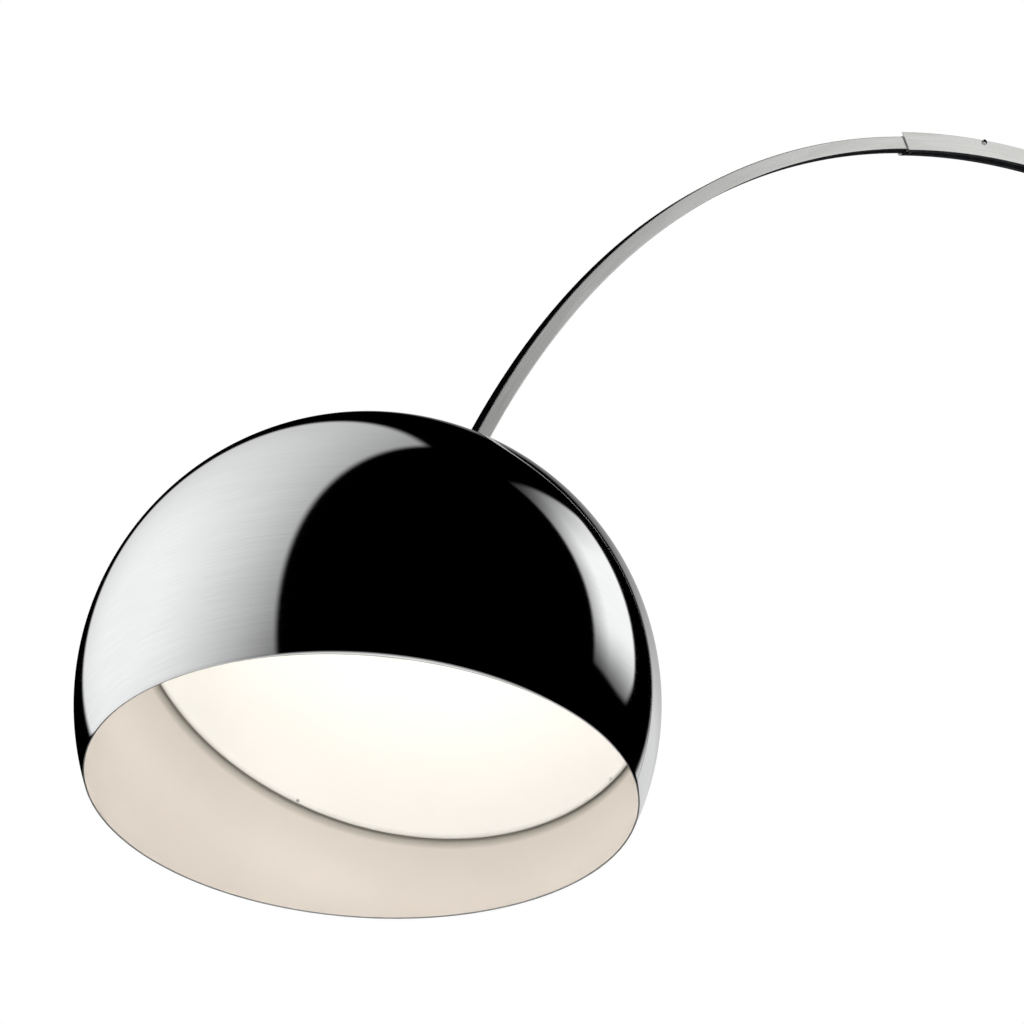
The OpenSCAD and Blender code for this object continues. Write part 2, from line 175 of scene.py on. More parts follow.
def add(tree, kind, inputs=None, **settings):
    """Makes a node, sets its properties, and feeds its inputs by name or number."""
    made = tree.nodes.new("ShaderNode" + kind)
    for name, value in settings.items():
        setattr(made, name, value)
    for name, value in (inputs or {}).items():
        feed(tree, made.inputs[name], value)
    return made


def maths(tree, operation, *values):
    return add(tree, "Math", dict(enumerate(values)), operation=operation).outputs[0]


def distance(tree, value, other):
    return maths(tree, "ABSOLUTE", maths(tree, "SUBTRACT", value, other))


def dot(tree, vector, other):
    made = add(tree, "VectorMath", {0: vector, 1: other}, operation="DOT_PRODUCT")
    return made.outputs["Value"]


def minus(tree, vector, other):
    return add(tree, "VectorMath", {0: vector, 1: other}, operation="SUBTRACT").outputs[0]


def remap(tree, value, low, high, to_low, to_high, kind="SMOOTHSTEP"):
    """Takes the range low to high into to_low to to_high, and holds it at its ends."""
    inputs = {"Value": value, "From Min": low, "From Max": high, "To Min": to_low, "To Max": to_high}
    return add(tree, "MapRange", inputs, interpolation_type=kind).outputs["Result"]


def blend_colour(tree, factor, first, second):
    made = add(tree, "Mix", data_type="RGBA")
    feed(tree, made.inputs["Factor"], factor)
    feed(tree, made.inputs[FIRST_COLOUR], first)
    feed(tree, made.inputs[SECOND_COLOUR], second)
    return made.outputs[MIXED_COLOUR]


def two_tones(tree, value, span, first, second):
    """Goes from the first tone to the second over a span of a noise's values."""
    return blend_colour(tree, remap(tree, value, *span, 0.0, 1.0), first, second)


def noise(tree, vector, scale, detail=4.0, roughness=0.5, distortion=0.0):
    inputs = {"Vector": vector, "Scale": scale, "Detail": detail, "Roughness": roughness,
              "Distortion": distortion}
    return add(tree, "TexNoise", inputs).outputs["Fac"]


def stretched(tree, vector, scale):
    """Scales coordinates differently along each axis, to draw a noise out along one."""
    return add(tree, "Mapping", {"Vector": vector, "Scale": scale}).outputs["Vector"]


def bump(tree, height, strength, depth):
    inputs = {"Height": height, "Strength": strength, "Distance": depth}
    return add(tree, "Bump", inputs).outputs["Normal"]


def start_material(name, metallic=0.0, roughness=0.5, **sockets):
    """A Principled material; returns the material, its tree, its shader and object coordinates."""
    material = bpy.data.materials.new(name)
    material.use_nodes = True
    tree = material.node_tree
    shader = tree.nodes["Principled BSDF"]
    shader.inputs["Metallic"].default_value = metallic
    shader.inputs["Roughness"].default_value = roughness
    for socket, value in sockets.items():
        shader.inputs[socket.replace("_", " ")].default_value = value
    place = add(tree, "TexCoord").outputs["Object"]
    return material, tree, shader, place


# ---------------------------------------------------------------- coordinates in materials

def arc_coordinates(tree, place):
    """Coordinates in which the arc is straight: radius, width and length along it."""
    parts = add(tree, "SeparateXYZ", {0: minus(tree, place, ARC_CENTRE)})
    flat = add(tree, "CombineXYZ", {"X": parts.outputs["X"], "Y": parts.outputs["Z"]}).outputs[0]
    radius = add(tree, "VectorMath", {0: flat}, operation="LENGTH").outputs["Value"]
    angle = maths(tree, "ARCTAN2", parts.outputs["Z"], parts.outputs["X"])
    along = maths(tree, "MULTIPLY", angle, ARC_RADIUS)
    inputs = {"X": radius, "Y": parts.outputs["Y"], "Z": along}
    return add(tree, "CombineXYZ", inputs).outputs[0]


def dome_coordinates(tree, place):
    """Coordinates whose Z runs along the dome's own axis."""
    moved = minus(tree, place, SHADE_CENTRE)
    turned = axis_frame(SHADE_CENTRE, DOME_AXIS).to_3x3()
    parts = {letter: dot(tree, moved, turned.col[index]) for index, letter in enumerate("XYZ")}
    return add(tree, "CombineXYZ", parts).outputs[0]


def head_height(tree, place):
    """Height over the shade's centre, along the head's axis."""
    return dot(tree, minus(tree, place, SHADE_CENTRE), HEAD_AXIS)


# ---------------------------------------------------------------- materials

def fine_material(name, colour, dark, metallic, roughness, grain, depth, **sockets):
    """A finish whose colour drifts between two tones, with fine grain in roughness and bump."""
    material, tree, shader, place = start_material(name, metallic, roughness, **sockets)
    drift = noise(tree, place, grain * DRIFT_SCALE, 3.0)
    fine = noise(tree, place, grain, 6.0, 0.6)
    feed(tree, shader.inputs["Base Color"], two_tones(tree, drift, CLOUD_SPAN, dark, colour))
    smoother = roughness * (1 - ROUGHNESS_SPREAD)
    rougher = roughness * (1 + ROUGHNESS_SPREAD)
    rough = remap(tree, fine, *GRAIN_SPAN, smoother, rougher)
    feed(tree, shader.inputs["Roughness"], rough)
    feed(tree, shader.inputs["Normal"], bump(tree, fine, 0.35, depth))
    return material


def brushed_steel(name, follows_arc):
    """Satin steel with long grain along the channel, and a few duller streaks."""
    dark = (0.73, 0.73, 0.71, 1)
    pale = (0.84, 0.84, 0.82, 1)
    dull = (0.62, 0.62, 0.6, 1)
    fine_and_long = (620.0, 620.0, 9.0)
    wide_and_long = (170.0, 170.0, 14.0)
    material, tree, shader, place = start_material(name, metallic=0.88)
    lane = arc_coordinates(tree, place) if follows_arc else place
    grain = noise(tree, stretched(tree, lane, fine_and_long), 1.0, 5.0, 0.62)
    streaks = noise(tree, stretched(tree, lane, wide_and_long), 1.0, 4.0, 0.6, 0.3)
    toned = two_tones(tree, grain, GRAIN_SPAN, dark, pale)
    toned = blend_colour(tree, remap(tree, streaks, 0.42, 0.7, 0.0, 0.35), toned, dull)
    feed(tree, shader.inputs["Base Color"], toned)
    feed(tree, shader.inputs["Roughness"], remap(tree, grain, 0.25, 0.75, 0.15, 0.2))
    feed(tree, shader.inputs["Normal"], bump(tree, grain, 0.05, 0.00004))
    return material


def dome_metal():
    """Mirror-polished steel, with the faint rings that spinning and polishing leave."""
    dark = (0.88, 0.885, 0.89, 1)
    pale = (0.96, 0.965, 0.97, 1)
    dull = (0.85, 0.855, 0.865, 1)
    thin_rings = (26.0, 26.0, 2600.0)
    broad_rings = (9.0, 9.0, 60.0)
    material, tree, shader, place = start_material("polished_dome", metallic=1.0)
    spun = dome_coordinates(tree, place)
    rings = noise(tree, stretched(tree, spun, thin_rings), 1.0, 5.0, 0.6)
    cloud = noise(tree, stretched(tree, spun, broad_rings), 1.0, 3.0, 0.6)
    toned = two_tones(tree, rings, GRAIN_SPAN, dark, pale)
    toned = blend_colour(tree, remap(tree, cloud, 0.4, 0.75, 0.0, 0.4), toned, dull)
    feed(tree, shader.inputs["Base Color"], toned)
    feed(tree, shader.inputs["Roughness"], remap(tree, rings, *GRAIN_SPAN, 0.03, 0.06))
    feed(tree, shader.inputs["Normal"], bump(tree, rings, 0.004, 0.00002))
    return material


def dome_lacquer():
    """Sprayed cream lacquer with a faint orange-peel skin, and painted shade round the height of the cap's
    rim: a narrow painted shadow inside a wider soft fade.
    """
    colour = (0.822, 0.765, 0.715, 1)
    deep = (0.805, 0.747, 0.695, 1)
    material, tree, shader, place = start_material("cream_lacquer", roughness=0.38)
    peel = noise(tree, place, 900.0, 3.0, 0.5)
    cloud = noise(tree, place, 14.0, 3.0, 0.5)
    # painted shade: the lacquer is darker towards the cap's rim, a narrow painted shadow inside a wider
    # fade
    over_ring = distance(tree, head_height(tree, place), RING_UP)
    shade_fade = remap(tree, over_ring, 0.0, PAINTED_FADE_HALF_WIDTH, PAINTED_FADE_LEVEL, 0.0)
    rim_shadow = remap(tree, over_ring, 0.0, PAINTED_SHADOW_HALF_WIDTH, 1.0, 0.0)
    toned = two_tones(tree, cloud, CLOUD_SPAN, deep, colour)
    toned = blend_colour(tree, maths(tree, "MAXIMUM", shade_fade, rim_shadow), toned, PAINTED_SHADE_COLOUR)
    feed(tree, shader.inputs["Base Color"], toned)
    feed(tree, shader.inputs["Roughness"], remap(tree, peel, *GRAIN_SPAN, 0.33, 0.43))
    feed(tree, shader.inputs["Normal"], bump(tree, peel, 0.12, 0.00004))
    return material


def cap_finish():
    """The fixed cap: polished steel on its outer face and white lacquer on its inner face, with painted
    shade in a narrow band along its rim.
    """
    colour = (0.96, 0.95, 0.925, 1)
    deep = (0.95, 0.94, 0.91, 1)
    dark = (0.8, 0.805, 0.81, 1)
    pale = (0.93, 0.935, 0.94, 1)
    material, tree, shader, place = start_material("polished_cap")
    outward = dot(tree, add(tree, "TexCoord").outputs["Normal"], minus(tree, place, SHADE_CENTRE))
    outside = remap(tree, outward, -0.01, 0.01, 0.0, 1.0)
    grain = noise(tree, place, 1400.0, 5.0, 0.6)
    cloud = noise(tree, place, 14.0, 3.0, 0.5)
    # painted shade: the lacquer is darker in a narrow band at the cap's rim, for the shade along its edge
    rim_shade = remap(tree, head_height(tree, place), RING_UP, RING_UP + CAP_RIM_SHADE_WIDTH, CAP_RIM_SHADE_LEVEL, 0.0)
    lacquer = two_tones(tree, cloud, CLOUD_SPAN, deep, colour)
    lacquer = blend_colour(tree, rim_shade, lacquer, PAINTED_SHADE_COLOUR)
    steel = blend_colour(tree, grain, dark, pale)
    feed(tree, shader.inputs["Base Color"], blend_colour(tree, outside, lacquer, steel))
    feed(tree, shader.inputs["Metallic"], outside)
    feed(tree, shader.inputs["Roughness"], remap(tree, outside, 0.0, 1.0, 0.4, 0.12, "LINEAR"))
    feed(tree, shader.inputs["Normal"], bump(tree, grain, 0.05, 0.00003))
    return material


def marble():
    """Honed white marble: grey clouds, soft veins that wander, and a few thin sharp ones."""
    ground = (0.74, 0.74, 0.73, 1)
    cloudy = (0.62, 0.63, 0.64, 1)
    vein = (0.46, 0.47, 0.49, 1)
    sharp_vein = (0.3, 0.31, 0.335, 1)
    material, tree, shader, place = start_material("white_marble", roughness=0.3, Coat_Weight=0.15)
    warp = maths(tree, "MULTIPLY", noise(tree, place, 4.5, 6.0, 0.6), 0.24)
    bent = add(tree, "VectorMath", {0: place, 1: warp}, operation="ADD").outputs[0]
    clouds = noise(tree, bent, 5.0, 8.0, 0.62, 0.6)
    wide = add(tree, "TexWave", {"Vector": stretched(tree, bent, (1.0, 1.0, 0.55)), "Scale": 3.4,
                                 "Distortion": 9.0, "Detail": 6.0, "Detail Roughness": 0.62},
               bands_direction="DIAGONAL").outputs["Fac"]
    thin = distance(tree, noise(tree, bent, 3.2, 9.0, 0.55, 1.2), 0.5)
    tone = two_tones(tree, clouds, (0.35, 0.7), ground, cloudy)
    tone = blend_colour(tree, remap(tree, wide, 0.9, 1.0, 0.0, 0.5), tone, vein)
    tone = blend_colour(tree, remap(tree, thin, 0.0, 0.022, 0.75, 0.0), tone, sharp_vein)
    feed(tree, shader.inputs["Base Color"], tone)
    fine = noise(tree, place, 700.0, 5.0, 0.6)
    feed(tree, shader.inputs["Roughness"], remap(tree, fine, *GRAIN_SPAN, 0.24, 0.36))
    feed(tree, shader.inputs["Normal"], bump(tree, fine, 0.1, 0.00006))
    return material


def opal_bulb():
    """Lit opal glass whose crown is silvered, so that its light goes up into the cap."""
    silvered = (0.93, 0.93, 0.92, 1)
    warm = (0.93, 0.9, 0.85, 1)
    pale = (1, 0.98, 0.94, 1)
    unlit = (0, 0, 0, 1)
    material, tree, shader, place = start_material("opal_bulb", Emission_Strength=BULB_STRENGTH)
    silver = remap(tree, head_height(tree, place), BULB_MIRROR_UP - BULB_MIRROR_EDGE,
                   BULB_MIRROR_UP + BULB_MIRROR_EDGE, 1.0, 0.0)
    mottle = noise(tree, place, 120.0, 3.0)
    glass = blend_colour(tree, mottle, warm, pale)
    feed(tree, shader.inputs["Base Color"], blend_colour(tree, silver, glass, silvered))
    feed(tree, shader.inputs["Metallic"], silver)
    feed(tree, shader.inputs["Roughness"], remap(tree, mottle, *GRAIN_SPAN, 0.08, 0.14))
    feed(tree, shader.inputs["Emission Color"], blend_colour(tree, silver, BULB_COLOUR, unlit))
    return material


def make_metals():
    """Every metal finish, by the name that WEARS and the pieces use."""
    return {
        "arc_steel": brushed_steel("satin_steel_arc", follows_arc=True),
        "post_steel": brushed_steel("satin_steel_post", follows_arc=False),
        "dome_metal": dome_metal(),
        "cap": cap_finish(),
        "plate_steel": fine_material("satin_steel_plate", (0.72, 0.72, 0.7, 1), (0.62, 0.62, 0.61, 1),
                                     metallic=0.82, roughness=0.36, grain=900.0, depth=0.00004),
        "collar": fine_material("polished_collar", (0.9, 0.905, 0.91, 1), (0.84, 0.845, 0.85, 1),
                                metallic=1.0, roughness=0.09, grain=1500.0, depth=0.00002),
        "zinc": fine_material("zinc_plated_steel", (0.7, 0.71, 0.73, 1), (0.56, 0.57, 0.58, 1),
                              metallic=1.0, roughness=0.28, grain=700.0, depth=0.00004),
        "chrome": fine_material("chromed_screw", (0.56, 0.565, 0.57, 1), (0.46, 0.465, 0.47, 1),
                                metallic=1.0, roughness=0.24, grain=1500.0, depth=0.00002),
        "rim": fine_material("turned_rim", (0.3, 0.303, 0.306, 1), (0.22, 0.223, 0.226, 1),
                             metallic=1.0, roughness=0.35, grain=1500.0, depth=0.00002),
        "brass": fine_material("turned_brass", (0.78, 0.6, 0.3, 1), (0.66, 0.49, 0.23, 1),
                               metallic=1.0, roughness=0.26, grain=900.0, depth=0.00004),
    }


def make_other_finishes():
    """Every other finish, by the name that WEARS and the pieces use."""
    return {
        "cream": dome_lacquer(),
        "marble": marble(),
        "bulb": opal_bulb(),
        # painted shade: the channels' narrow faces are painted near black and dark grey in place of the
        # dark look of their satin steel
        "black_face": fine_material("painted_shade_dark_face", (0.002, 0.002, 0.0024, 1), (0.001, 0.001, 0.0012, 1),
                                    metallic=0.0, roughness=0.5, grain=1500.0, depth=0.00002,
                                    Specular_IOR_Level=0.0),
        "grey_face": fine_material("shaded_face", (0.026, 0.027, 0.03, 1), (0.016, 0.017, 0.019, 1),
                                   metallic=0.0, roughness=0.5, grain=1500.0, depth=0.00002,
                                   Specular_IOR_Level=0.0),
        "felt": fine_material("black_felt", (0.05, 0.05, 0.053, 1), (0.025, 0.025, 0.027, 1),
                              metallic=0.0, roughness=0.95, grain=1800.0, depth=0.0006,
                              Sheen_Weight=0.6),
        "plastic": fine_material("black_nylon", (0.04, 0.04, 0.043, 1), (0.028, 0.028, 0.03, 1),
                                 metallic=0.0, roughness=0.46, grain=1600.0, depth=0.00008),
        "sheath": fine_material("cable_sheath", (0.05, 0.05, 0.052, 1), (0.035, 0.035, 0.037, 1),
                                metallic=0.0, roughness=0.55, grain=1200.0, depth=0.00006),
        "holder": fine_material("white_bakelite", (0.87, 0.85, 0.8, 1), (0.82, 0.8, 0.75, 1),
                                metallic=0.0, roughness=0.32, grain=700.0, depth=0.00004),
        "ceramic": fine_material("ceramic", (0.9, 0.89, 0.85, 1), (0.84, 0.82, 0.78, 1),
                                 metallic=0.0, roughness=0.5, grain=500.0, depth=0.00008),
    }


# Which material each CAD node wears
WEARS = {
    "plate_steel": ["socket_plate", "arm_tip"],
    "cream": ["dome"],
    "cap": ["cap"],
    "collar": ["collar"],
    "marble": ["base_block"],
    "felt": ["base_pad"],
    "zinc": ["plate_screws", "tie_rod", "tie_washer", "tie_nut", "post_screws", "tip_rivets",
             "cap_washer", "bulb_base"],
    "chrome": ["lower_lock_screw", "middle_lock_screw"],
    "brass": ["stone_anchors", "lower_wedge", "middle_wedge", "hollow_nipple", "lock_nut",
              "holder_shell", "holder_contact", "bulb_contact"],
    "plastic": ["cable_gland", "cable_clips", "middle_shoe", "end_shoe", "friction_ring"],
    "sheath": ["post_cable", "arm_cable"],
    "holder": ["holder_cover", "holder_ring"],
    "ceramic": ["holder_core"],
    "bulb": ["bulb_glass"],
}

# Nodes whose sharp edges get a small round, how wide it is, and what counts as split or sharp
EDGE_ROUNDS = {
    "socket_plate": 0.0006, "base_block": 0.0008, "base_pad": 0.0008, "tie_nut": 0.0004,
    "holder_cover": 0.0006, "holder_ring": 0.0006, "lower_wedge": 0.0003, "middle_wedge": 0.0003,
}
EDGE_SEGMENTS = 3
WELD_DISTANCE = 0.000002
SHARP_ANGLE = math.radians(35)


def dress_nodes(materials):
    """Gives the CAD nodes their finishes."""
    for finish, names in WEARS.items():
        for name in names:
            for slot in frame["nodes"][name].material_slots:
                slot.material = materials[finish]


def round_edges(piece, width):
    """Joins split corners, rounds sharp edges and evens out the shading."""
    weld = piece.modifiers.new("weld", "WELD")
    weld.merge_threshold = WELD_DISTANCE
    edge = piece.modifiers.new("round", "BEVEL")
    edge.width = width
    edge.segments = EDGE_SEGMENTS
    edge.limit_method = "ANGLE"
    edge.angle_limit = SHARP_ANGLE
    edge.use_clamp_overlap = False
    piece.modifiers.new("shading", "WEIGHTED_NORMAL")


def new_piece(name, form, materials, finishes):
    """Turns mesh-building work into an object in the scene, with its materials in order."""
    mesh = bpy.data.meshes.new(name)
    form.to_mesh(mesh)
    form.free()
    for finish in finishes:
        mesh.materials.append(materials[finish])
    piece = bpy.data.objects.new(name, mesh)
    bpy.context.collection.objects.link(piece)
    return piece


# ---------------------------------------------------------------- channels

def rounded(outline):
    """A closed outline whose corners (place, radius) are drawn as curves."""
    points = []
    for index, (corner, radius) in enumerate(outline):
        before = (outline[index - 1][0] - corner).normalized()
        after = (outline[(index + 1) % len(outline)][0] - corner).normalized()
        start = corner + before * radius
        end = corner + after * radius
        for step in range(ROUND_STEPS + 1):
            t = step / ROUND_STEPS
            points.append(start * (1 - t) ** 2 + corner * 2 * t * (1 - t) + end * t ** 2)
    return points


def channel_outline(width, above, below, wall, slot):
    """Section of a channel: x is the height over the arc's radius, y is across the arm."""
    half = width / 2
    gap = slot / 2
    top = above - wall
    floor = wall - below
    side = half - wall
    outer = [(-below, gap), (-below, half), (above, half),
             (above, -half), (-below, -half), (-below, -gap)]
    inner = [(floor, -gap), (floor, -side), (top, -side),
             (top, side), (floor, side), (floor, gap)]
    lips = {(-below, gap), (-below, -gap), (floor, gap), (floor, -gap)}
    corners = []
    for place in outer + inner:
        radius = LIP_ROUND if place in lips else CORNER_ROUND if place in outer else wall / 3
        corners.append((Vector(place), radius))
    return rounded(corners)


def half_outline(width, above, below, wall, slot, hand):
    """Section of one side of a channel whose back is cut away; hand is 1 or -1."""
    half = width / 2
    gap = slot / 2
    side = half - wall
    floor = wall - below
    corners = [(-below, gap, LIP_ROUND), (-below, half, CORNER_ROUND), (above, half, 2 * LIP_ROUND),
               (above, side, LIP_ROUND), (floor, side, wall / 3), (floor, gap, LIP_ROUND)]
    return rounded([(Vector((x, hand * y)), radius) for x, y, radius in corners])


def arc_places(start, end):
    """Places along the arc from one angle to another, each with the way outward."""
    count = math.ceil((end - start) / SWEEP_STEP)
    places = []
    for step in range(count + 1):
        angle = start + (end - start) * step / count
        outward = Vector((math.cos(angle), 0, math.sin(angle)))
        places.append((ARC_CENTRE + outward * ARC_RADIUS, outward))
    return places


def face_finish(low, high, half):
    """Which finish a strip of the outline wears: the outer sides are steel, and the rest is painted shade,
    near black above the arc's radius and dark grey below it.
    """
    upright = abs(high.x - low.x) > abs(high.y - low.y)
    if upright and abs(low.y) > half - CORNER_ROUND:
        return STEEL
    return BLACK if low.x > 0 else GREY


def add_run(form, outline, places, straight=0):
    """A closed tube of one outline along the places; its first strips belong to the straight post."""
    half = max(abs(point.y) for point in outline)
    finishes = [face_finish(point, outline[(k + 1) % len(outline)], half)
                for k, point in enumerate(outline)]
    across = Vector((0, 1, 0))
    rings = []
    for spot, outward in places:
        rings.append([form.verts.new(spot + outward * p.x + across * p.y) for p in outline])
    for index, (ring, following) in enumerate(zip(rings, rings[1:])):
        for k, vert in enumerate(ring):
            after = (k + 1) % len(ring)
            face = form.faces.new((vert, ring[after], following[after], following[k]))
            face.smooth = True
            on_post = index < straight and finishes[k] == STEEL
            face.material_index = POST_STEEL if on_post else finishes[k]
    for ring in (rings[0], rings[-1]):
        for edge in form.faces.new(ring).edges:
            edge.smooth = False


def angle_at(x, radius):
    """The angle at which a circle round the arc's centre reaches a place along X."""
    return math.acos((x - ARC_CENTRE.x) / radius)


def arc_ends(node, above, below):
    """The angles at which an arc-shaped node starts and ends, from its box."""
    low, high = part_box(node)
    outer = ARC_RADIUS + above
    inner = ARC_RADIUS - below
    start = angle_at(min(high.x, ARC_CENTRE.x + outer), outer if high.x > ARC_CENTRE.x else inner)
    end = angle_at(low.x, inner if low.x > ARC_CENTRE.x else outer)
    return start, end


def build_channel(part, materials):
    """One nested channel with rounded corners; the lowest runs on down as the post."""
    above, below, wall, slot = CHANNELS[part]
    node = part + "_section"
    low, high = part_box(node)
    section = (high.y - low.y, above, below, wall, slot)
    start, end = arc_ends(node, above, below)
    back_end = end - MOUTH_RELIEF if part == "middle" else end
    places = arc_places(start, back_end)
    stands_in = [node]
    post_strips = 0
    if part == "lower":
        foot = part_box("post")[0].z
        places.insert(0, (Vector((0, 0, foot)), Vector((1, 0, 0))))
        stands_in.append("post")
        post_strips = 1
    form = bmesh.new()
    add_run(form, channel_outline(*section), places, post_strips)
    if part == "middle":
        for hand in (1, -1):
            add_run(form, half_outline(*section, hand), arc_places(back_end, end))
    bmesh.ops.triangulate(form, faces=[face for face in form.faces if len(face.verts) > 4])
    bmesh.ops.recalc_face_normals(form, faces=form.faces)
    channel = new_piece(part + "_channel", form, materials,
                        ("arc_steel", "black_face", "grey_face", "post_steel"))
    channel.modifiers.new("shading", "WEIGHTED_NORMAL").keep_sharp = True
    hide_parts(*stands_in)
    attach(channel, CHANNEL_BODIES[part])


# ---------------------------------------------------------------- shade

def axis_frame(origin, axis):
    """A matrix that puts Z on an axis through a point."""
    return Matrix.Translation(origin) @ axis.to_track_quat("Z", "Y").to_matrix().to_4x4()


def circle_stretch(size, start, end, steps):
    """Radius and height of points round a circle, at angles from its top."""
    angles = [start + (end - start) * step / steps for step in range(steps + 1)]
    return [(size * math.sin(angle), size * math.cos(angle)) for angle in angles]


def round_edge(radius, angle, start):
    """A half circle that joins the dome's two faces at one of its edges."""
    half = DOME_WALL / 2
    middle = radius - half
    across = middle * math.sin(angle)
    up = middle * math.cos(angle)
    turns = [start + math.pi * step / EDGE_STEPS for step in range(1, EDGE_STEPS)]
    return [(across + half * math.cos(turn), up - half * math.sin(turn)) for turn in turns]


def dome_outline(radius):
    """Radius and height along the shell's outer face, rim, inner face and vent edge, with finishes."""
    inner = radius - DOME_WALL
    margin = DOME_WALL / 2 / radius
    rim_out = math.pi / 2 + math.asin(DOME_RIM_DROP / radius)
    rim_in = math.pi / 2 + math.asin(DOME_RIM_DROP / inner)
    rim = min(rim_out, rim_in) - margin
    vent = VENT_ANGLE + margin
    return [
        (METAL_FACE, circle_stretch(radius, vent, rim, DOME_STEPS)),
        (RIM_FACE, round_edge(radius, rim, rim - math.pi / 2)),
        (CREAM_FACE, circle_stretch(inner, rim, vent, DOME_STEPS)),
        (METAL_FACE, round_edge(radius, vent, vent + math.pi / 2)),
    ]


def build_dome(materials):
    """The spun dome as one closed shell, polished outside and lacquered inside."""
    low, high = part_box("dome")
    angles = [2 * math.pi * turn / DOME_TURNS for turn in range(DOME_TURNS)]
    form = bmesh.new()
    rings = []
    wears = []
    for finish, stretch in dome_outline((high.y - low.y) / 2 - DOME_MARGIN):
        for radius, height in stretch:
            rings.append([form.verts.new((radius * math.cos(a), radius * math.sin(a), height))
                          for a in angles])
            wears.append(finish)
    for index, ring in enumerate(rings):
        following = rings[(index + 1) % len(rings)]
        for turn in range(DOME_TURNS):
            after = (turn + 1) % DOME_TURNS
            face = form.faces.new((ring[turn], following[turn], following[after], ring[after]))
            face.smooth = True
            face.material_index = wears[index]
    bmesh.ops.recalc_face_normals(form, faces=form.faces)
    form.transform(axis_frame(SHADE_CENTRE, DOME_AXIS))
    shell = new_piece("dome_shell", form, materials, ("dome_metal", "cream", "rim"))
    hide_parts("dome")
    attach(shell, "shade")


def build_rim_screws(materials):
    """Small domed screws in the cap's rim, which hold the friction ring."""
    form = bmesh.new()
    flatten = Matrix.Diagonal((1, 1, RIM_SCREW_FLATNESS, 1))
    for turn in RIM_SCREW_TURNS:
        outward = Quaternion(HEAD_AXIS, turn) @ Quaternion((0, 1, 0), RIM_SCREW_DROP) @ HEAD_AXIS
        seat = axis_frame(SHADE_CENTRE + outward * RIM_SCREW_REACH, outward)
        bmesh.ops.create_uvsphere(form, u_segments=RIM_SCREW_SIDES, v_segments=RIM_SCREW_SIDES // 2,
                                  radius=RIM_SCREW_RADIUS, matrix=seat @ flatten)
    for face in form.faces:
        face.smooth = True
    screws = new_piece("rim_screws", form, materials, ["zinc"])
    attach(screws, "end_arm")


# ---------------------------------------------------------------- studio

def sky(azimuth, elevation):
    """The unit direction of an azimuth and elevation in degrees."""
    a = math.radians(azimuth)
    e = math.radians(elevation)
    return Vector((math.cos(a) * math.cos(e), math.sin(a) * math.cos(e), math.sin(e)))


def corner_planes(corners):
    """Inward normals of the planes between neighbouring corners of a convex patch of sky."""
    points = [sky(*corner) for corner in corners]
    middle = sum(points, Vector())
    planes = []
    for index, point in enumerate(points):
        plane = point.cross(points[(index + 1) % len(points)])
        planes.append(plane if plane.dot(middle) > 0 else -plane)
    return planes


def along_plane(tree, direction, plane):
    """How far a direction lies on the inner side of a plane through the eye."""
    return dot(tree, direction, tuple(plane.normalized()))


def soft_region(tree, direction, planes, soft):
    """1 inside the cone bounded by planes through the eye, 0 outside, with soft edges."""
    inside = 1.0
    for plane in planes:
        part = remap(tree, along_plane(tree, direction, plane), -soft, soft, 0.0, 1.0)
        inside = maths(tree, "MULTIPLY", inside, part)
    return inside


def main_softbox(tree, direction):
    """A large softbox beside the dome, brightest in its middle."""
    region = soft_region(tree, direction, MAIN_EDGES, MAIN_SOFTNESS)
    toward = dot(tree, direction, tuple(sky(*MAIN_MIDDLE)))
    return maths(tree, "MULTIPLY", region, remap(tree, toward, *MAIN_FALL, "LINEAR"))


def side_softbox(tree, direction, height):
    """A tall softbox, which fades at its top, at its foot and towards its edge of lowest azimuth."""
    planes = corner_planes(SIDE_CORNERS)
    region = soft_region(tree, direction, planes, SIDE_SOFTNESS)
    from_edge = along_plane(tree, direction, planes[-1])
    top_level = remap(tree, height, *SIDE_TOP_FALL)
    foot_level = remap(tree, height, *SIDE_FOOT_FALL)
    edge_level = remap(tree, from_edge, *SIDE_EDGE_FALL, "LINEAR")
    level = maths(tree, "MULTIPLY", maths(tree, "MULTIPLY", top_level, foot_level), edge_level)
    return maths(tree, "MULTIPLY", region, level)


def back_softbox(tree, direction, height):
    """A softbox behind the dome, which fades upwards."""
    region = soft_region(tree, direction, corner_planes(BACK_CORNERS), BACK_SOFTNESS)
    return maths(tree, "MULTIPLY", region, remap(tree, height, *BACK_FALL, "LINEAR"))


def floor_glow(tree, height):
    """The pale floor as polished surfaces see it, brighter lower down."""
    return remap(tree, height, *FLOOR_GLOW)


def build_world():
    """White to the camera, even light for matt surfaces, and softboxes for polished ones."""
    world = bpy.data.worlds.new("studio")
    bpy.context.scene.world = world
    world.use_nodes = True
    tree = world.node_tree
    tree.nodes.clear()
    direction = add(tree, "TexCoord").outputs["Generated"]
    height = add(tree, "SeparateXYZ", {0: direction}).outputs["Z"]
    total = maths(tree, "MAXIMUM", main_softbox(tree, direction), side_softbox(tree, direction, height))
    total = maths(tree, "MAXIMUM", total, back_softbox(tree, direction, height))
    total = maths(tree, "MAXIMUM", total, floor_glow(tree, height))
    softboxes = add(tree, "Background", {"Color": (1, 1, 1, 1), "Strength": total}).outputs[0]
    even = add(tree, "Background", {"Color": (1, 1, 1, 1), "Strength": AMBIENT}).outputs[0]
    white = add(tree, "Background", {"Color": (1, 1, 1, 1), "Strength": 1.0}).outputs[0]
    rays = add(tree, "LightPath").outputs
    lit = add(tree, "MixShader", {0: rays["Is Diffuse Ray"], 1: softboxes, 2: even}).outputs[0]
    seen = add(tree, "MixShader", {0: rays["Is Camera Ray"], 1: lit, 2: white}).outputs[0]
    add(tree, "OutputWorld", {"Surface": seen})


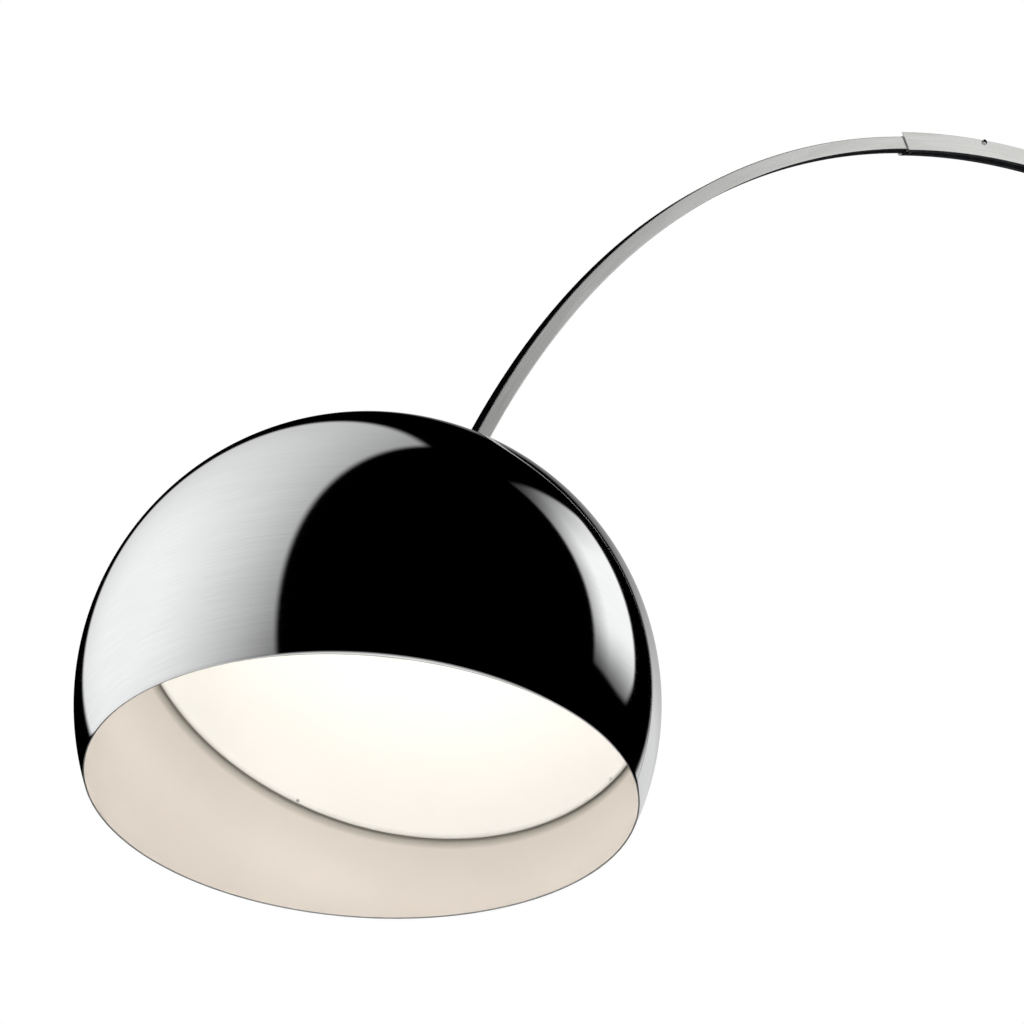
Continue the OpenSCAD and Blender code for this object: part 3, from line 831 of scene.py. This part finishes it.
def build_floor():
    """A plain pale floor, which polished surfaces don't reflect."""
    mesh = bpy.data.meshes.new("floor")
    corners = [(-FLOOR_REACH, -FLOOR_REACH, 0), (FLOOR_REACH, -FLOOR_REACH, 0),
               (FLOOR_REACH, FLOOR_REACH, 0), (-FLOOR_REACH, FLOOR_REACH, 0)]
    mesh.from_pydata(corners, [], [(0, 1, 2, 3)])
    floor = bpy.data.objects.new("floor", mesh)
    bpy.context.collection.objects.link(floor)
    mesh.materials.append(fine_material("pale_floor", (0.86, 0.86, 0.85, 1), (0.84, 0.84, 0.83, 1),
                                        metallic=0.0, roughness=0.8, grain=40.0, depth=0.00004))
    floor.visible_glossy = False


def build_key_light():
    """One large soft lamp from above the camera's side, which polished surfaces don't reflect."""
    light = bpy.data.lights.new("key", "AREA")
    light.shape = "DISK"
    light.size = KEY_SIZE
    light.energy = KEY_POWER
    lamp = bpy.data.objects.new("key", light)
    lamp.location = SHADE_CENTRE + KEY_OFFSET
    lamp.rotation_euler = (KEY_TARGET - KEY_OFFSET).to_track_quat("-Z", "Y").to_euler()
    lamp.visible_glossy = False
    bpy.context.collection.objects.link(lamp)


def aim_camera():
    """A long lens below the shade, which looks up into its mouth."""
    data = bpy.data.cameras.new("camera")
    data.sensor_width = CAMERA_SENSOR
    data.lens = CAMERA_LENS
    data.shift_x = CAMERA_SHIFT
    data.clip_start = 0.02
    data.clip_end = 60.0
    camera = bpy.data.objects.new("camera", data)
    bpy.context.collection.objects.link(camera)
    flat = math.cos(CAMERA_PITCH)
    forward = Vector((math.sin(CAMERA_YAW) * flat, math.cos(CAMERA_YAW) * flat, math.sin(CAMERA_PITCH)))
    camera.location = SHADE_CENTRE + CAMERA_OFFSET
    camera.rotation_euler = forward.to_track_quat("-Z", "Y").to_euler()
    bpy.context.scene.camera = camera


bpy.context.scene.view_settings.view_transform = "Standard"
aim_camera()
build_world()
build_floor()
build_key_light()
looks = {**make_metals(), **make_other_finishes()}
dress_nodes(looks)
for node_name, round_width in EDGE_ROUNDS.items():
    round_edges(frame["nodes"][node_name], round_width)
for part_name in CHANNELS:
    build_channel(part_name, looks)
build_dome(looks)
build_rim_screws(looks)
